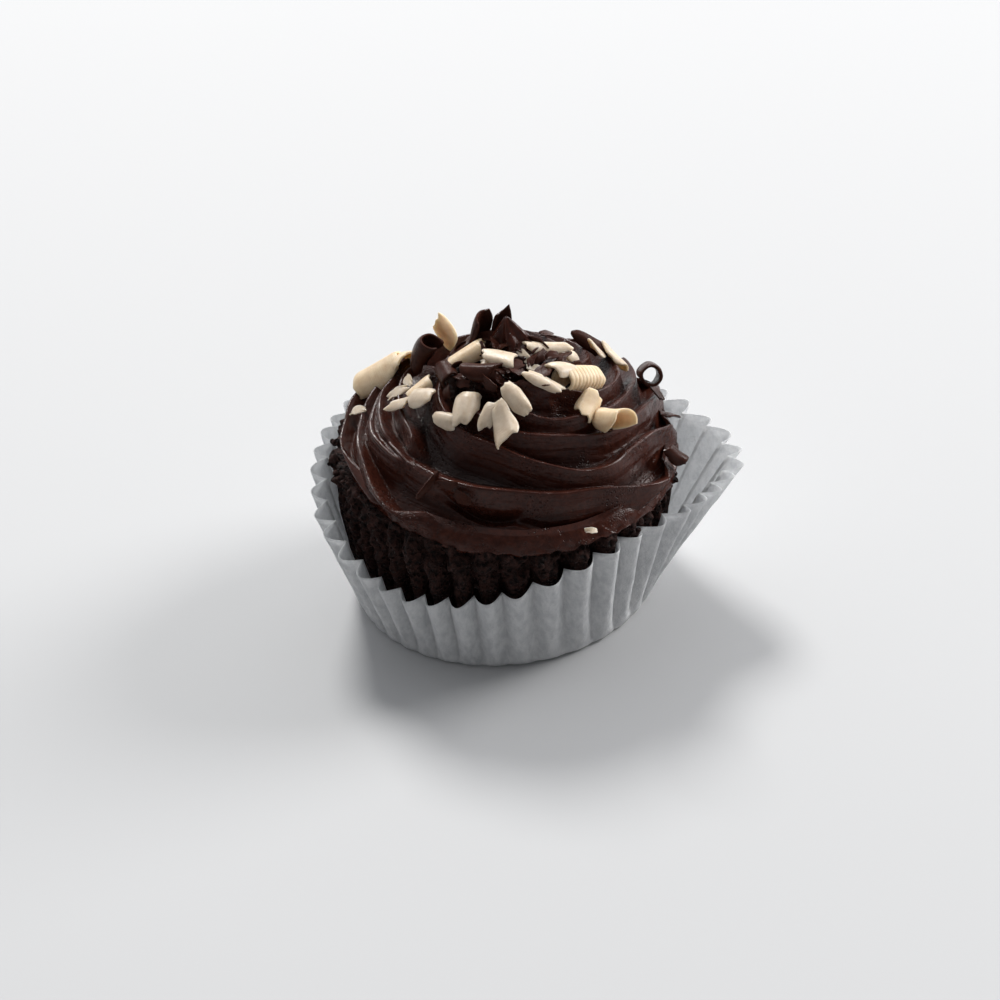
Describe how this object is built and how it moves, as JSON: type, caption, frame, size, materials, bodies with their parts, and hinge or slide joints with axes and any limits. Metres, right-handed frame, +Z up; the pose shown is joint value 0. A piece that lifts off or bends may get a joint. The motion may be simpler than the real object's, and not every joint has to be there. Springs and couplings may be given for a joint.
{
  "type": "cupcake",
  "caption": "Chocolate cupcake in an opened white pleated paper case, with a piped swirl of chocolate frosting and white and dark chocolate curls on top.",
  "frame": {"origin": "centre of the flat bottom of the paper case, on the surface it stands on", "axes": "+Z up; -Y towards the side where the case is lowest; +X towards the side where the case is pulled open"},
  "size_m": [0.0707, 0.0592, 0.0486],
  "materials": {
    "case_paper": "matte white greaseproof paper",
    "cake_crumb": "rough dark chocolate crumb",
    "frosting_cream": "satin dark chocolate frosting",
    "white_chocolate": "soft satin ivory",
    "dark_chocolate": "satin dark brown"
  },
  "bodies": {
    "root": {"paper_case": "case_paper", "cake": "cake_crumb", "frosting": "frosting_cream", "white_curl_1": "white_chocolate", "white_curl_2": "white_chocolate", "white_curl_3": "white_chocolate", "white_curl_4": "white_chocolate", "white_curl_5": "white_chocolate", "white_curl_6": "white_chocolate", "white_curl_7": "white_chocolate", "white_curl_8": "white_chocolate", "white_curl_9": "white_chocolate", "white_curl_10": "white_chocolate", "white_curl_11": "white_chocolate", "white_curl_12": "white_chocolate", "white_curl_13": "white_chocolate", "white_curl_14": "white_chocolate", "white_curl_15": "white_chocolate", "white_curl_16": "white_chocolate", "white_curl_17": "white_chocolate", "white_curl_18": "white_chocolate", "white_curl_19": "white_chocolate", "white_curl_20": "white_chocolate", "white_curl_21": "white_chocolate", "white_curl_22": "white_chocolate", "dark_curl_1": "dark_chocolate", "dark_curl_2": "dark_chocolate", "dark_curl_3": "dark_chocolate", "dark_curl_4": "dark_chocolate", "dark_curl_5": "dark_chocolate", "dark_curl_6": "dark_chocolate", "dark_curl_7": "dark_chocolate", "dark_curl_8": "dark_chocolate", "dark_curl_9": "dark_chocolate"}
  },
  "joints": []
}
